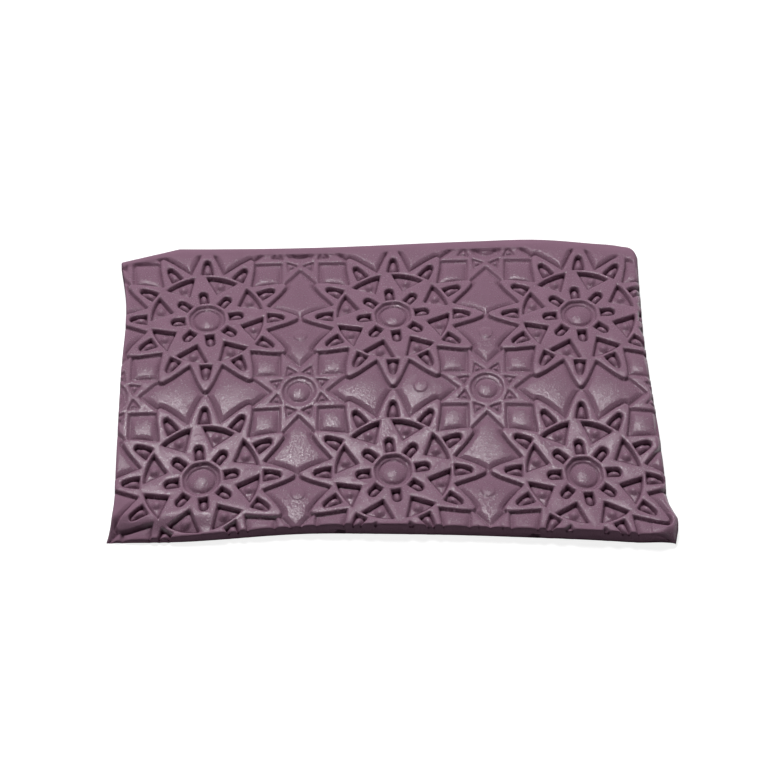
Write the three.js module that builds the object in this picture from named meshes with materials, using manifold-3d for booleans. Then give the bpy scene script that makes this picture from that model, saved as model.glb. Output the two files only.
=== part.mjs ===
// Clay texture sheet: one moulded rubber sheet with a star-and-rosette relief on its upper face.
// Millimetres. +X runs along the long side, +Y from the front edge to the back edge, +Z up.
// The sheet is built flat, as it leaves its mould, and then laid: it rests on its front and back
// edges and rises in a low arch between them.

import * as THREE from 'three';
import { mergeVertices } from 'three/addons/utils/BufferGeometryUtils.js';
import { ConvexGeometry } from 'three/addons/geometries/ConvexGeometry.js';
import Module from 'manifold-3d';

const wasm = await Module();
wasm.setup();

// Outline of the flat sheet, measured from the middle of the pattern
const sheetLength = 138.4;
const sheetDepth = 88.8;
const leftEdge = -68.9;
const leftWaist = 1.5;
const leftWaistAt = 20;
const frontEdgeDeepest = -42.9;
const frontDeepestAt = 33;
const frontLeftSetback = 3.1;
const frontMiddleSetback = 0.7;
const frontRightSetback = 1.2;
const backCrestAt = 33;
const backLeftSetback = 1.6;
const backRightSetback = 2.6;
const rightNarrowSetback = 1.7;
const rightMiddleSetback = 4.7;
const rightBackSetback = 7.4;
const flareDepth = 8;
const cutCornerLength = 14.9;
const cutCornerDepth = 4.6;
const backRightRadius = 3;
const frontRightRadius = 1.8;
const curveSegments = 6;

// Thickness and relief levels
const thickness = 4.8;
const reliefDepth = 1.4;
const bite = 0.4;
const clearance = 1;

// Lattice of large rosettes
const pitch = 47;
const frontRowY = -26.35;

// Large rosette: petals, from the point where two of them touch inwards
const petalCount = 12;
const petalLength = 7.8;
const petalNoseLength = 1.2;
const petalNoseHalfWidth = 1.4;
const tipMerge = 0.2;
const petalTipWall = 3.7;
const petalWindowLength = 4.6;
const petalWindowStraight = 2.8;
const petalWindowHalfWidth = 1.75;
const windowShoulderShare = 0.9;

// Large rosette: eight-armed star
const armCount = 8;
const starTurn = 7.2;
const ringWidth = 1.0;
const triangleLength = 5.3;
const triangleHalfSpread = 16.4;
const archInner = 5.4;
const archShoulder = 8.4;
const archOuter = 9.4;
const archHalfWidth = 1.35;

// Large rosette: boss in its pocket
const pocketRadius = 4.55;
const flangeDrop = 0.95;
const bossRadius = 3.6;
const bossGrooveDrop = 1.3;
const bossDrop = 0.4;
const bossSides = 14;
const domeShoulder = 0.72;
const domeShoulderRise = 0.66;

// Bumps in the windows
const bumpHeight = 0.8;
const petalBumpRadius = 1.0;
const triangleBumpRadius = 1.25;
const archBumpRadius = 0.75;
const bumpSides = 3;

// Small rosette, halfway between four large ones
const smallStarDrop = 0.45;
const notchRadius = 7.2;
const armHalfWidth = 4.0;
const armInset = 0.2;
const squareCorner = 4.9;
const smallWindowInner = 5.2;
const smallWindowOuter = 7.7;
const smallWindowHalfSpread = 15;
const smallWindowFloorDrop = 1.1;
const smallPocketRadius = 4.15;
const smallBossRadius = 2.8;
const smallBossSides = 10;

// Pillows: kites and squares
const groove = 0.45;
const pillowEdgeDrop = 0.9;
const kiteCrownDrop = 0.15;
const kiteCrownShare = 0.66;
const squareCrownDrop = 0.35;
const squareCrownShare = 0.76;

// Smooth border along the back edge, and the two front corners
const borderWidth = 1.8;
const borderDrop = 0.35;
const fadedCornerLength = 12;
const fadedCornerDepth = 7.2;
const bevelLength = 33;
const bevelCornerThickness = 1.7;
const lipRadius = 4.4;
const lipInset = 2.2;
const lipDrop = 0.25;
const lipSides = 16;

// How the sheet lies
const archHeight = 3.19;
const archMiddle = 4.6;
const archHalfDepth = 36;
const frontBow = 1.044;
const bowChange = 0.0263;
const bowSpan = 47.2;
const endTurn = 0.456;
const skew = 0.0275;
const waist = 0.0128;
const waistReach = 36;
const archStations = 7;
const bowStations = 7;
const longFacet = 12;
const shortCut = 0.05;

// Places along the outline
const rightEdgeFront = leftEdge + sheetLength;
const rightEdgeNarrow = rightEdgeFront - rightNarrowSetback;
const rightEdgeMiddle = rightEdgeFront - rightMiddleSetback;
const rightEdgeBack = rightEdgeFront - rightBackSetback;
const frontEdgeLeft = frontEdgeDeepest + frontLeftSetback;
const frontEdgeMiddle = frontEdgeDeepest + frontMiddleSetback;
const frontEdgeRight = frontEdgeDeepest + frontRightSetback;
const backEdgeCrest = frontEdgeDeepest + sheetDepth;
const backEdgeLeft = backEdgeCrest - backLeftSetback;
const backEdgeRight = backEdgeCrest - backRightSetback;

// Radii of the large rosette, and the corner of a square that points at it
const petalTip = pitch / 2;
const valleyRadius = petalTip - petalLength;
const noseRadius = petalTip - petalNoseLength;
const petalWindowOuter = petalTip - petalTipWall;
const petalWindowInner = petalWindowOuter - petalWindowLength;
const petalWindowShoulder = petalWindowInner + petalWindowStraight;
const triangleBaseRadius = petalWindowInner - ringWidth;
const triangleApexRadius = triangleBaseRadius - triangleLength;
const squareOuter = (pitch / Math.SQRT2 - valleyRadius) / Math.SQRT2 - groove;
const armEnd = squareOuter - armInset;

const floorLevel = thickness - reliefDepth;
const degree = Math.PI / 180;

const rubber = new THREE.MeshStandardMaterial({ color: 0x8a6c7d, roughness: 0.6, metalness: 0 });

// Solids from three.js meshes and back

function solidOf(geometry) {
  const bare = geometry.clone();
  bare.deleteAttribute('normal');
  bare.deleteAttribute('uv');
  const merged = mergeVertices(bare, 1e-5);
  return new wasm.Manifold(new wasm.Mesh({
    numProp: 3,
    vertProperties: new Float32Array(merged.attributes.position.array),
    triVerts: new Uint32Array(merged.index.array),
  }));
}

function geometryOf(solid) {
  const mesh = solid.getMesh();
  const geometry = new THREE.BufferGeometry();
  geometry.setAttribute('position', new THREE.BufferAttribute(new Float32Array(mesh.vertProperties), 3));
  geometry.setIndex(new THREE.BufferAttribute(new Uint32Array(mesh.triVerts), 1));
  return geometry;
}

function joined(solids) {
  return solids.reduce((whole, solid) => whole.add(solid));
}

// Points in the plane

function alongAxis(angle, along, across) {
  return new THREE.Vector2(
    along * Math.cos(angle) - across * Math.sin(angle),
    along * Math.sin(angle) + across * Math.cos(angle),
  );
}

function polar(radius, angle) {
  return alongAxis(angle, radius, 0);
}

// A prism over a closed outline, from one level to another
function prism(points, low, high) {
  const geometry = new THREE.ExtrudeGeometry(new THREE.Shape(points), {
    depth: high - low,
    bevelEnabled: false,
    steps: 1,
  });
  geometry.translate(0, 0, low);
  return solidOf(geometry);
}

// A low cone with a few sides, which stands in a window
function bump(centre, turn, radius, floor) {
  const base = floor - bite;
  const slope = bumpHeight / radius;
  const footRadius = radius + bite / slope;
  const cone = new THREE.ConeGeometry(footRadius, bumpHeight + bite, bumpSides);
  cone.rotateX(Math.PI / 2);
  cone.rotateZ(turn);
  cone.translate(centre.x, centre.y, base + (bumpHeight + bite) / 2);
  return solidOf(cone);
}

// A pillow: an outline that rises to a smaller flat crown
function pillow(points, crownShare, crownLevel) {
  const middle = new THREE.Vector2();
  points.forEach((point) => middle.addScaledVector(point, 1 / points.length));
  const edgeLevel = thickness - pillowEdgeDrop;
  const rings = [
    { share: 1, level: floorLevel - bite },
    { share: 1, level: edgeLevel },
    { share: crownShare, level: crownLevel },
  ];
  const positions = [];
  rings.forEach((ring) => {
    points.forEach((point) => {
      const place = middle.clone().lerp(point, ring.share);
      positions.push(place.x, place.y, ring.level);
    });
  });
  const count = points.length;
  const faces = [];
  for (let ring = 0; ring < rings.length - 1; ring += 1) {
    for (let side = 0; side < count; side += 1) {
      const next = (side + 1) % count;
      const lower = ring * count;
      const upper = lower + count;
      faces.push(lower + side, lower + next, upper + next);
      faces.push(lower + side, upper + next, upper + side);
    }
  }
  const caps = THREE.ShapeUtils.triangulateShape(points, []);
  const top = (rings.length - 1) * count;
  caps.forEach(([a, b, c]) => {
    faces.push(top + a, top + b, top + c);
    faces.push(c, b, a);
  });
  const geometry = new THREE.BufferGeometry();
  geometry.setAttribute('position', new THREE.Float32BufferAttribute(positions, 3));
  geometry.setIndex(faces);
  return solidOf(geometry);
}

// A domed boss with a flange round it, turned about its own axis
function boss(flange, dome, plateau, sides) {
  const grooveLevel = plateau - bossGrooveDrop;
  const flangeLevel = plateau - flangeDrop;
  const crownLevel = plateau - bossDrop;
  const profile = [
    new THREE.Vector2(0, floorLevel - bite),
    new THREE.Vector2(flange, floorLevel - bite),
    new THREE.Vector2(flange, flangeLevel),
    new THREE.Vector2((flange + dome) / 2, flangeLevel),
    new THREE.Vector2(dome, grooveLevel),
    new THREE.Vector2(dome * domeShoulder, grooveLevel + (crownLevel - grooveLevel) * domeShoulderRise),
    new THREE.Vector2(0, crownLevel),
  ];
  const lathe = new THREE.LatheGeometry(profile, sides);
  lathe.rotateX(Math.PI / 2);
  return solidOf(lathe);
}

// Outlines of the large rosette

function petalOutline() {
  const step = 2 * Math.PI / petalCount;
  const points = [];
  for (let petal = 0; petal < petalCount; petal += 1) {
    const axis = petal * step;
    points.push(polar(valleyRadius, axis - step / 2));
    points.push(alongAxis(axis, noseRadius, -petalNoseHalfWidth));
    points.push(polar(petalTip + tipMerge, axis));
    points.push(alongAxis(axis, noseRadius, petalNoseHalfWidth));
  }
  return points;
}

function windowOutline(axis, inner, shoulder, outer, halfWidth) {
  return [
    alongAxis(axis, inner, -halfWidth),
    alongAxis(axis, shoulder, -halfWidth * windowShoulderShare),
    alongAxis(axis, outer, 0),
    alongAxis(axis, shoulder, halfWidth * windowShoulderShare),
    alongAxis(axis, inner, halfWidth),
  ];
}

function circleOutline(radius, sides) {
  const points = [];
  for (let side = 0; side < sides; side += 1) {
    points.push(polar(radius, side * 2 * Math.PI / sides));
  }
  return points;
}

function largeRosette() {
  const low = floorLevel - bite;
  const high = thickness;
  const above = thickness + clearance;
  const below = low - clearance;
  let web = prism(petalOutline(), low, high);
  const bumps = [];
  const petalStep = 2 * Math.PI / petalCount;
  for (let petal = 0; petal < petalCount; petal += 1) {
    const axis = petal * petalStep;
    const outline = windowOutline(
      axis, petalWindowInner, petalWindowShoulder, petalWindowOuter, petalWindowHalfWidth);
    web = web.subtract(prism(outline, below, above));
    const middle = polar((petalWindowInner + petalWindowShoulder) / 2, axis);
    bumps.push(bump(middle, axis, petalBumpRadius, floorLevel));
  }
  const armStep = 2 * Math.PI / armCount;
  for (let arm = 0; arm < armCount; arm += 1) {
    const axis = starTurn * degree + arm * armStep;
    const arch = windowOutline(axis, archInner, archShoulder, archOuter, archHalfWidth);
    web = web.subtract(prism(arch, below, above));
    bumps.push(bump(polar((archInner + archOuter) / 2, axis), axis, archBumpRadius, floorLevel));
    const between = axis + armStep / 2;
    const triangle = [
      polar(triangleApexRadius, between),
      polar(triangleBaseRadius, between - triangleHalfSpread * degree),
      polar(triangleBaseRadius, between + triangleHalfSpread * degree),
    ];
    web = web.subtract(prism(triangle, below, above));
    const middle = polar((triangleApexRadius + 2 * triangleBaseRadius) / 3, between);
    bumps.push(bump(middle, between, triangleBumpRadius, floorLevel));
  }
  web = web.subtract(prism(circleOutline(pocketRadius, bossSides), below, above));
  return joined([web, boss(pocketRadius + bite, bossRadius, thickness, bossSides), ...bumps]);
}

// Outlines of the small rosette and of what lies round it

function smallStarOutline() {
  const points = [];
  for (let quarter = 0; quarter < 4; quarter += 1) {
    const axis = quarter * Math.PI / 2;
    points.push(polar(notchRadius, axis));
    points.push(alongAxis(axis, armEnd, armHalfWidth));
    points.push(alongAxis(axis, armEnd, squareCorner));
    points.push(alongAxis(axis, squareCorner, squareCorner));
    points.push(alongAxis(axis, squareCorner, armEnd));
    points.push(alongAxis(axis, armHalfWidth, armEnd));
  }
  return points;
}

function smallStar() {
  const plateau = thickness - smallStarDrop;
  const above = thickness + clearance;
  let plate = prism(smallStarOutline(), floorLevel - bite, plateau);
  for (let index = 0; index < armCount; index += 1) {
    const axis = (index + 0.5) * 2 * Math.PI / armCount;
    const triangle = [
      polar(smallWindowOuter, axis),
      polar(smallWindowInner, axis + smallWindowHalfSpread * degree),
      polar(smallWindowInner, axis - smallWindowHalfSpread * degree),
    ];
    plate = plate.subtract(prism(triangle, thickness - smallWindowFloorDrop, above));
  }
  const pocket = prism(circleOutline(smallPocketRadius, smallBossSides), floorLevel - 2 * bite, above);
  return plate.subtract(pocket).add(boss(smallPocketRadius + bite, smallBossRadius, plateau, smallBossSides));
}

// The kite lies between two large rosettes: from the notch of the small star, past the tips of the
// two petals beside it and the valleys behind them, to the point where two petals touch
function kiteOutline(axis) {
  const petalStep = 2 * Math.PI / petalCount;
  const fromLarge = (along, across, petal) => {
    const place = alongAxis(petal * petalStep, along, across);
    return [petalTip - place.y, petalTip - place.x];
  };
  const side = [
    fromLarge(noseRadius, petalNoseHalfWidth + groove, 0),
    fromLarge(valleyRadius * Math.cos(petalStep / 2) + 2 * groove, valleyRadius * Math.sin(petalStep / 2), 0),
    fromLarge(noseRadius, -petalNoseHalfWidth - groove, 1),
    [armEnd - groove, armHalfWidth - 2 * groove],
  ];
  const left = side.map(([along, across]) => alongAxis(axis, along, across));
  const right = side.map(([along, across]) => alongAxis(axis, along, -across)).reverse();
  return [alongAxis(axis, notchRadius + 2 * groove, 0), ...right, alongAxis(axis, petalTip - 3 * groove, 0), ...left];
}

function squareOutline(axis) {
  const near = squareCorner + groove;
  return [
    alongAxis(axis, near, near),
    alongAxis(axis, squareOuter, near),
    alongAxis(axis, squareOuter, squareOuter),
    alongAxis(axis, near, squareOuter),
  ];
}

function smallRosette() {
  const solids = [smallStar()];
  for (let quarter = 0; quarter < 4; quarter += 1) {
    const axis = quarter * Math.PI / 2;
    solids.push(pillow(kiteOutline(axis), kiteCrownShare, thickness - kiteCrownDrop));
    solids.push(pillow(squareOutline(axis), squareCrownShare, thickness - squareCrownDrop));
  }
  return joined(solids);
}

// Outline of the whole sheet

function sheetOutline() {
  const point = (x, y) => new THREE.Vector2(x, y);
  const shape = new THREE.Shape();
  shape.moveTo(leftEdge, frontEdgeLeft);
  shape.splineThru([
    point(0, frontEdgeMiddle),
    point(frontDeepestAt, frontEdgeDeepest),
    point(rightEdgeFront - frontRightRadius, frontEdgeRight),
  ]);
  shape.quadraticCurveTo(
    rightEdgeFront, frontEdgeRight, rightEdgeFront, frontEdgeRight + frontRightRadius);
  shape.splineThru([
    point(rightEdgeNarrow, frontEdgeRight + flareDepth),
    point(rightEdgeMiddle, 0),
    point(rightEdgeBack, backEdgeRight - backRightRadius),
  ]);
  shape.quadraticCurveTo(
    rightEdgeBack, backEdgeRight, rightEdgeBack - backRightRadius, backEdgeRight);
  shape.quadraticCurveTo(
    (rightEdgeBack + backCrestAt) / 2, backEdgeCrest, backCrestAt, backEdgeCrest);
  shape.lineTo(leftEdge + cutCornerLength, backEdgeLeft);
  shape.lineTo(leftEdge, backEdgeLeft - cutCornerDepth);
  shape.quadraticCurveTo(leftEdge + 2 * leftWaist, leftWaistAt, leftEdge, frontEdgeLeft);
  return shape.extractPoints(curveSegments).shape.slice(0, -1);
}

// Smooth border along the back edge, wider at its faded right end
function backBorder() {
  const left = leftEdge - clearance;
  const right = rightEdgeBack + clearance;
  const back = backEdgeCrest + clearance;
  return prism([
    new THREE.Vector2(left, backEdgeLeft - cutCornerDepth - borderWidth),
    new THREE.Vector2(leftEdge + cutCornerLength, backEdgeLeft - borderWidth),
    new THREE.Vector2(backCrestAt, backEdgeCrest - borderWidth),
    new THREE.Vector2(rightEdgeBack - fadedCornerLength, backEdgeLeft - borderWidth),
    new THREE.Vector2(right, backEdgeLeft - fadedCornerDepth),
    new THREE.Vector2(right, back),
    new THREE.Vector2(left, back),
  ], floorLevel - bite, thickness - borderDrop);
}

// The smooth corner at the front right
function frontLip() {
  const lip = new THREE.CylinderGeometry(lipRadius, lipRadius, thickness - lipDrop, lipSides);
  lip.rotateX(Math.PI / 2);
  lip.translate(rightEdgeFront - lipInset, frontEdgeRight + lipInset, (thickness - lipDrop) / 2);
  return solidOf(lip);
}

// What the knife took off the front left corner
function frontBevel() {
  const rise = thickness - bevelCornerThickness + clearance;
  const corner = new THREE.Vector3(leftEdge, frontEdgeLeft, bevelCornerThickness);
  const end = new THREE.Vector3(leftEdge + bevelLength, frontEdgeMiddle, thickness);
  const wedge = [];
  [corner, end].forEach((place) => {
    const out = place === corner ? -rise : 0;
    wedge.push(place.clone().add(new THREE.Vector3(out, -rise, 0)));
    wedge.push(place.clone().add(new THREE.Vector3(out, 0, 0)));
    wedge.push(place.clone().add(new THREE.Vector3(out, -rise, rise)));
    wedge.push(place.clone().add(new THREE.Vector3(out, rise, rise)));
  });
  return solidOf(new ConvexGeometry(wedge));
}

// The flat sheet

function touchesSheet(x, y) {
  return x + petalTip > leftEdge && x - petalTip < rightEdgeFront
    && y + petalTip > frontEdgeDeepest && y - petalTip < backEdgeCrest;
}

function flatSheet() {
  const columns = Math.ceil((rightEdgeFront - leftEdge) / (2 * pitch)) + 1;
  const rows = Math.ceil((backEdgeCrest - frontEdgeDeepest) / pitch) + 1;
  const rosette = geometryOf(largeRosette());
  const between = geometryOf(smallRosette());
  const base = new THREE.BoxGeometry(
    rightEdgeFront - leftEdge + pitch, backEdgeCrest - frontEdgeDeepest + pitch, floorLevel + clearance);
  base.translate(
    (rightEdgeFront + leftEdge) / 2, (backEdgeCrest + frontEdgeDeepest) / 2, (floorLevel - clearance) / 2);
  let sheet = solidOf(base);
  for (let column = -columns; column <= columns; column += 1) {
    for (let row = -1; row < rows; row += 1) {
      const x = column * pitch;
      const y = frontRowY + row * pitch;
      if (touchesSheet(x, y)) {
        sheet = sheet.add(solidOf(rosette.clone().translate(x, y, 0)));
      }
      if (touchesSheet(x + petalTip, y + petalTip)) {
        sheet = sheet.add(solidOf(between.clone().translate(x + petalTip, y + petalTip, 0)));
      }
    }
  }
  sheet = sheet.add(backBorder());
  sheet = sheet.add(frontLip());
  sheet = sheet.subtract(frontBevel());
  return geometryOf(sheet.intersect(prism(sheetOutline(), 0, 2 * thickness)));
}

// Laying the sheet: long facets are divided at stations, so that they can follow the arch, and then
// every corner is moved

function splitAt(positions, triangles, axis, station) {
  const cuts = new Map();
  const offset = (vertex) => positions[vertex].getComponent(axis) - station;
  const cutOf = (a, b) => {
    const key = a < b ? `${a} ${b}` : `${b} ${a}`;
    if (!cuts.has(key)) {
      const from = offset(Math.min(a, b));
      const to = offset(Math.max(a, b));
      const start = positions[Math.min(a, b)];
      const end = positions[Math.max(a, b)];
      const crosses = from * to < 0 && Math.min(Math.abs(from), Math.abs(to)) > shortCut;
      let vertex = -1;
      if (crosses && start.distanceTo(end) > longFacet) {
        vertex = positions.length;
        positions.push(start.clone().lerp(end, from / (from - to)));
      }
      cuts.set(key, vertex);
    }
    return cuts.get(key);
  };
  const split = [];
  triangles.forEach((triangle) => {
    const marks = triangle.map((vertex, side) => cutOf(vertex, triangle[(side + 1) % 3]));
    const count = marks.filter((mark) => mark >= 0).length;
    if (count === 0) {
      split.push(triangle);
      return;
    }
    let first = marks.findIndex((mark) => mark >= 0);
    if (count === 2 && marks[(first + 1) % 3] < 0) {
      first = (first + 2) % 3;
    }
    const [a, b, c] = [0, 1, 2].map((turn) => triangle[(first + turn) % 3]);
    const onFirst = marks[first];
    const onSecond = marks[(first + 1) % 3];
    if (count === 1) {
      split.push([a, onFirst, c], [onFirst, b, c]);
    } else {
      split.push([onFirst, b, onSecond], [a, onFirst, onSecond], [a, onSecond, c]);
    }
  });
  return split;
}

function stations(low, high, count) {
  return Array.from({ length: count }, (_, index) => low + index * (high - low) / (count - 1));
}

function layPoint(point) {
  const fromMiddle = THREE.MathUtils.clamp((point.y - archMiddle) / archHalfDepth, -1, 1);
  const rise = archHeight * Math.cos(Math.PI / 2 * fromMiddle) ** 2;
  const alongBow = point.x / bowSpan;
  const bow = (frontBow - bowChange * point.y) * alongBow ** 2 + endTurn * alongBow ** 3;
  const spread = 1 + waist * (point.y / waistReach) ** 2;
  return new THREE.Vector3(point.x * spread, point.y + skew * point.x - bow, point.z + rise);
}

function laidSheet() {
  const flat = flatSheet();
  const places = flat.attributes.position;
  const positions = Array.from(
    { length: places.count }, (_, vertex) => new THREE.Vector3().fromBufferAttribute(places, vertex));
  let triangles = [];
  for (let at = 0; at < flat.index.count; at += 3) {
    triangles.push([flat.index.getX(at), flat.index.getX(at + 1), flat.index.getX(at + 2)]);
  }
  stations(archMiddle - archHalfDepth, archMiddle + archHalfDepth, archStations).forEach((station) => {
    triangles = splitAt(positions, triangles, 1, station);
  });
  stations(leftEdge, rightEdgeFront, bowStations).slice(1, -1).forEach((station) => {
    triangles = splitAt(positions, triangles, 0, station);
  });
  const laid = new THREE.BufferGeometry().setFromPoints(positions.map(layPoint));
  laid.setIndex(triangles.flat());
  laid.computeBoundingBox();
  const { min, max } = laid.boundingBox;
  laid.translate(-(min.x + max.x) / 2, -(min.y + max.y) / 2, -min.z);
  laid.computeVertexNormals();
  return laid;
}

const textureSheet = new THREE.Mesh(laidSheet(), rubber);
textureSheet.name = 'texture_sheet';

const sheet = new THREE.Group();
sheet.add(textureSheet);

export default sheet;
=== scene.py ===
import math

import bpy
import numpy as np
from bpy.props import FloatProperty, FloatVectorProperty, IntProperty, PointerProperty
from bpy.types import Operator, Panel, PropertyGroup
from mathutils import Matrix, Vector
from mathutils.geometry import delaunay_2d_cdt


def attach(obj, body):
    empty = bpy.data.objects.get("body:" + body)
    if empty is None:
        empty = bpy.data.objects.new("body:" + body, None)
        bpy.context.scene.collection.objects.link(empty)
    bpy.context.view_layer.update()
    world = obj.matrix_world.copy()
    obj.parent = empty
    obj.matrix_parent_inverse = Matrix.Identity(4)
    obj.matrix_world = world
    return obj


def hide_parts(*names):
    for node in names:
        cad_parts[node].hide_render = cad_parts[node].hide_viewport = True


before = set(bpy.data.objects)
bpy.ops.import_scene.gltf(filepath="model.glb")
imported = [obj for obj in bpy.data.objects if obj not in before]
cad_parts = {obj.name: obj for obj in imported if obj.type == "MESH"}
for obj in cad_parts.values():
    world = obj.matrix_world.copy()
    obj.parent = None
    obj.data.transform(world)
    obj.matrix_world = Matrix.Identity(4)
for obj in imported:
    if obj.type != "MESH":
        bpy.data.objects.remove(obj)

bl_info = {
    "name": "Clay Texture Sheet",
    "version": (1, 0, 0),
    "blender": (4, 5, 0),
    "location": "View3D > Sidebar > Texture Sheet",
    "description": "A moulded rubber sheet with a star-and-rosette relief for texturing clay",
    "category": "Object",
}

# Lengths are millimetres until the mesh is made. +X runs along the front edge, +Y to the back, +Z up.
# The relief is worked out on the flat sheet, whose middle is the middle of the pattern; then the
# sheet is laid down, as it rests on the table. Levels are measured from the top of the relief.
MM = 0.001

# Outline of the flat sheet: places along each edge
LEFT_EDGE = [
    (-43, -69.9), (-39.8, -69.2), (-37, -68.5), (-33, -68.1), (-24, -68.3),
    (-6, -68.5), (6, -68.3), (17, -67.7), (30, -67.8), (40, -68.9)]
RIGHT_EDGE = [
    (-43, 67.9), (-39.5, 68.7), (-37.3, 69.1), (-35.8, 69.0), (-34.3, 68.3), (-32.5, 67.5),
    (-24, 66.9), (-12, 66.1), (0, 64.8), (13, 63.5), (27, 62.8), (41, 62.0)]
FRONT_EDGE = [
    (-69, -39.8), (-53, -41.1), (-20, -41.2), (0, -42.2), (16, -42.7), (33, -42.9),
    (50, -42.5), (69, -41.6)]
BACK_EDGE = [
    (-54, 44.3), (-16, 44.7), (20, 45.7), (37, 45.9), (50, 44.6), (57.5, 43.7), (60.5, 42.8), (62.2, 40.8)]
CUT_CORNER = [(-69, 39.7), (-54, 44.3)]

# Large rosette. A mound is given as its place along the arm, half its length, half its width, its height
PETALS = 12
VALLEY_RADIUS = 15.7
PETAL_KNEE = (20.4, 1.98)
PETAL_TIP_RADIUS = 22.97
PETAL_TIP_ROUNDING = 1.0
PETAL_TIP_ANGLES = (62, 45, 30, 15, 0)
PETAL_WINDOW_INNER = 15.2
PETAL_WINDOW_OUTER = 19.6
PETAL_WINDOW_HALF_WIDTH = 1.55
PETAL_WINDOW_TAPER = 0.36
PETAL_WINDOW_SHARES = (0, 0.25, 0.5, 0.7, 0.85, 0.94, 1)
PETAL_WINDOW_DEPTH = 1.6
PETAL_MOUND = (16.75, 1.6, 1.0, 0.9)
PLAIN_WINDOW_RADIUS = 17.4
PLAIN_WINDOW_REACH = (2.4, 3.0)
ARMS = 8
STAR_TURN = math.radians(7.2)
TRIANGLE_APEX_RADIUS = 8.9
TRIANGLE_BASE_RADIUS = 14.2
TRIANGLE_HALF_SPREAD = math.radians(16.4)
TRIANGLE_DEPTH = 1.65
TRIANGLE_MOUND = (12.2, 1.35, 1.3, 1.0)
ARCH_INNER = 5.6
ARCH_CENTRE = 8.05
ARCH_HALF_WIDTH = 1.15
ARCH_DEPTH = 1.85
ARCH_MOUND = (7.45, 1.5, 0.95, 0.95)

# Boss in its pocket
POCKET_HALF_WIDTH = 4.35
POCKET_RADIUS = 4.5
FLANGE_INNER = 3.6
FLANGE_DROP = 0.95
GROOVE_DROP = 1.5
DOME_RADIUS = 3.45
DOME_DROP = 0.15
DOME_RISE = 0.9
DOME_POWER = 2.0
DOME_ROUNDING = 0.6
FLANGE_ROUNDING = 0.3

# The low step round the floor of a window, and the roundness of its mound
STEP_RISE = 0.45
STEP_PLACE = (0.25, 0.65)
MOUND_POWER = 2.0

# Small rosette
SMALL_STAR_DROP = 0.45
NOTCH_RADIUS = 7.2
ARM_END = 11.7
ARM_END_HALF_WIDTH = (4.0, 4.9)
SMALL_POCKET_RADIUS = 4.05
SMALL_FLANGE_INNER = 3.0
SMALL_DOME_RADIUS = 2.8
SMALL_BOSS_SHARE = 0.6
SMALL_WINDOW_INNER = 5.3
SMALL_WINDOW_OUTER = 7.9
SMALL_WINDOW_HALF_WIDTH = 1.5
SMALL_WINDOW_DEPTH = 0.65
SMALL_WINDOW_ROUNDING = 0.3
SMALL_MOUND = (6.2, 0.75, 0.75, 0.25)

# Cells between the rosettes. Each holds a pillow, with a faint crease on its shoulder
GROOVE_WIDTH = 0.4
CELL_FLOOR_DROP = 1.2
CREASE_PLACE = 0.95
CREASE_HALF_WIDTH = 0.28
CREASE_DEPTH = 0.1
KITE_MIDDLE = 16.0
KITE_DROP = 0.05
KITE_DOME = 0.65
KITE_REACH = 8.0
KITE_ROUNDING = 1.4
FLUSH_PLACE = (33.0, 38.0)
SQUARE_MIDDLE = 8.6
SQUARE_OUTER = 12.6
SQUARE_DROP = 0.3
SQUARE_DOME = 0.35
SQUARE_REACH = 3.4
SQUARE_ROUNDING = 0.8

# Round marks that the mould left on some of the pillows
MARKS = [(-23.4, 14.2), (23.4, 13.9), (-23.2, -32.3), (23.2, -32.4), (6.9, -2.7)]
MARK_RADIUS = 1.9
MARK_HEIGHT = 0.28
MARK_EDGE = 0.4

# Painted shade in recesses and painted light on edges, against the land colour
SHADE_REACH = 0.5
SHADE_BLURS = 3
SHADE_DEPTH = 0.75
SHADE_POWER = 2
LIGHT_ON_EDGE = 0.5

# Rounding of raised edges, and the slope of the walls
LAND_ROUNDING = 0.5
SMALL_STAR_ROUNDING = 0.75
WALL_SLOPE = 6.0
SOFTENING = 2

# Borders
BACK_BORDER_WIDTH = 1.2
BACK_BORDER_DROP = 0.1
BACK_FADE = 1.1
WORN_START = (45, 32)
WORN_REACH = (18, 12)
WORN_PLACE = (0.6, 1.4)
WORN_BORDER = 3.5
MELT_WIDTH = 5.0
MELT_REACH = 0.45
MELT_BLURS = 2
DULL_EDGE = 1.5
DULL_BACK = (1.5, 5.0)
DULL_CORNER = (7.0, 16.0)
EDGE_ROUNDING = {"left": 0.35, "right": 1.3, "front": 0.25, "back": 0.6}
BEVEL_LENGTH = 65
BEVEL_CORNER_THICKNESS = 1.3
BEVEL_POWER = 1.7
BEVEL_REACH = 5.5
LIP_CENTRE = (67.2, -40.2)
LIP_RADIUS = 5.2
LIP_BLEND = 0.6
LIP_FALL = 2.6
LIP_DEPTH = 6.5
LIP_START = 58.0
LIP_LENGTH = 10.5
LIP_LEAST = 0.01
LIP_POWER = 4
NOTCHES = (-12.7, 34.2)
NOTCH_HALF_WIDTH = 1.4
NOTCH_DEPTH = 0.9
NOTCH_SHARES = (0.1, 0.4)
UNDERCUT = 0.7
UNDERCUT_REACH = 9.0
UNDERCUT_RATE = 3

# Loops of points down the side: share of the height, and how far each is pushed out
SIDE_RINGS = ((0.8, 0.05), (0.55, 0.1), (0.3, 0.14), (0.12, 0.1), (0.04, 0.0), (0.0, -0.25))

# The net of points, with the first guess of its places from front to back
NET_LENGTH = 140
NET_DEPTH = 87
NET_FRONT = -42
NET_BACK = 44
NET_ROUNDS = 12
UNDERSIDE_X = np.arange(-66, 66, 4.0)
UNDERSIDE_Y = np.arange(-40, 43, 3.0)
UNDERSIDE_MARGIN = 2
KEEP_INSIDE = 1
MERGE_DISTANCE = 1e-5

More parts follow.
